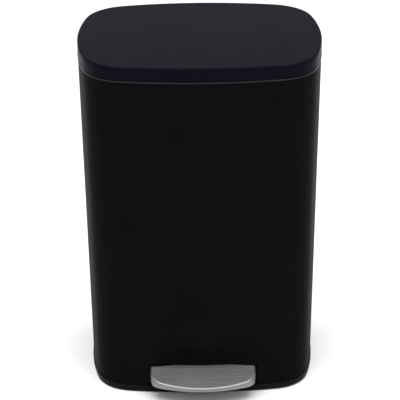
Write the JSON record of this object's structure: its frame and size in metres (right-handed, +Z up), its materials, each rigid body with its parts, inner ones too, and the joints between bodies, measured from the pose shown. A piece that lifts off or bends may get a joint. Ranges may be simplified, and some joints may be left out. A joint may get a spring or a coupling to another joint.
{
  "type": "pedal trash can",
  "caption": "Rounded-rectangle waste can with tapered walls, a flat hinged lid, a wide steel foot pedal, a lever and lift rod that open the lid, and a lift-out inner bucket.",
  "frame": {"origin": "on the ground at the middle of the can's box, under the rubber feet", "axes": "+Z up, -Y towards the front where the pedal is, +X to the right of someone who looks at the rear; the hinge is at +Y"},
  "size_m": [0.4102, 0.371, 0.607],
  "materials": {
    "body_plastic": "satin black moulded plastic, fine even grain",
    "lid_plastic": "satin black moulded plastic",
    "rim_plastic": "semi-gloss black plastic",
    "base_plastic": "matte black plastic",
    "tread_steel": "fine brushing from side to side",
    "lever_steel": "black powder coat on bent sheet steel",
    "zinc_steel": "zinc-plated steel",
    "bucket_plastic": "dark grey moulded polypropylene",
    "cover_plastic": "dark grey plastic",
    "bush_plastic": "natural acetal",
    "damper_metal": "drawn tube",
    "soft_rubber": "matte rubber"
  },
  "bodies": {
    "can": {"outer_body": "body_plastic", "rim_collar": "rim_plastic", "base_ring": "base_plastic", "foot_front_left": "soft_rubber", "foot_front_right": "soft_rubber", "foot_rear_left": "soft_rubber", "foot_rear_right": "soft_rubber", "inner_bucket": "bucket_plastic", "axle_bracket_left": "zinc_steel", "axle_bracket_right": "zinc_steel", "axle_bracket_screws": "zinc_steel", "pedal_axle": "zinc_steel", "axle_clips": "zinc_steel", "hinge_housing": "rim_plastic", "hinge_housing_screws": "zinc_steel", "hinge_pin": "zinc_steel", "rod_cover": "cover_plastic", "rod_cover_screws": "zinc_steel", "rod_guide_lower": "bush_plastic", "rod_guide_upper": "bush_plastic", "guide_screws": "zinc_steel", "damper_cylinder": "damper_metal", "damper_gland": "bush_plastic", "damper_cap": "bush_plastic", "damper_clamp": "cover_plastic"},
    "pedal": {"pedal_tread": "tread_steel", "pedal_lever": "lever_steel", "tread_nuts": "zinc_steel", "lever_bush_left": "bush_plastic", "lever_bush_right": "bush_plastic"},
    "lid": {"lid_cover": "lid_plastic", "lid_panel": "lid_plastic", "lid_panel_screws": "zinc_steel", "lid_bumpers": "soft_rubber", "lid_hinge_bracket": "lever_steel", "lid_bracket_screws": "zinc_steel", "hinge_bush_left": "bush_plastic", "hinge_bush_right": "bush_plastic"},
    "lift_rod_body": {"lift_rod": "zinc_steel", "lift_rod_clips": "zinc_steel"},
    "damper_rod_body": {"damper_rod": "zinc_steel", "damper_rod_clip": "zinc_steel", "damper_piston": "bush_plastic", "damper_seal": "soft_rubber"}
  },
  "joints": [
    {"name": "lid_hinge", "type": "hinge", "parent": "can", "child": "lid", "pos_m": [0, 0.1785, 0.577], "axis": [-1, 0, 0], "range_deg": [0, 75]},
    {"name": "pedal_pivot", "type": "hinge", "parent": "can", "child": "pedal", "pos_m": [0, -0.06417, 0.036], "axis": [1, 0, 0], "range_deg": [0, 8.42]},
    {"name": "lift_slide", "type": "slide", "parent": "can", "child": "lift_rod_body", "axis": [0, 0.0194, 0.9998], "range_m": [0, 0.03095]},
    {"name": "damper_slide", "type": "slide", "parent": "can", "child": "damper_rod_body", "axis": [0, 0.0194, 0.9998], "range_m": [0, 0.03095]}
  ],
  "couplings": [
    {"joint": "pedal_pivot", "follows": "lid_hinge", "ratio": 0.11208},
    {"joint": "lift_slide", "follows": "lid_hinge", "m_per_rad": 0.023636},
    {"joint": "damper_slide", "follows": "lid_hinge", "m_per_rad": 0.023636}
  ]
}
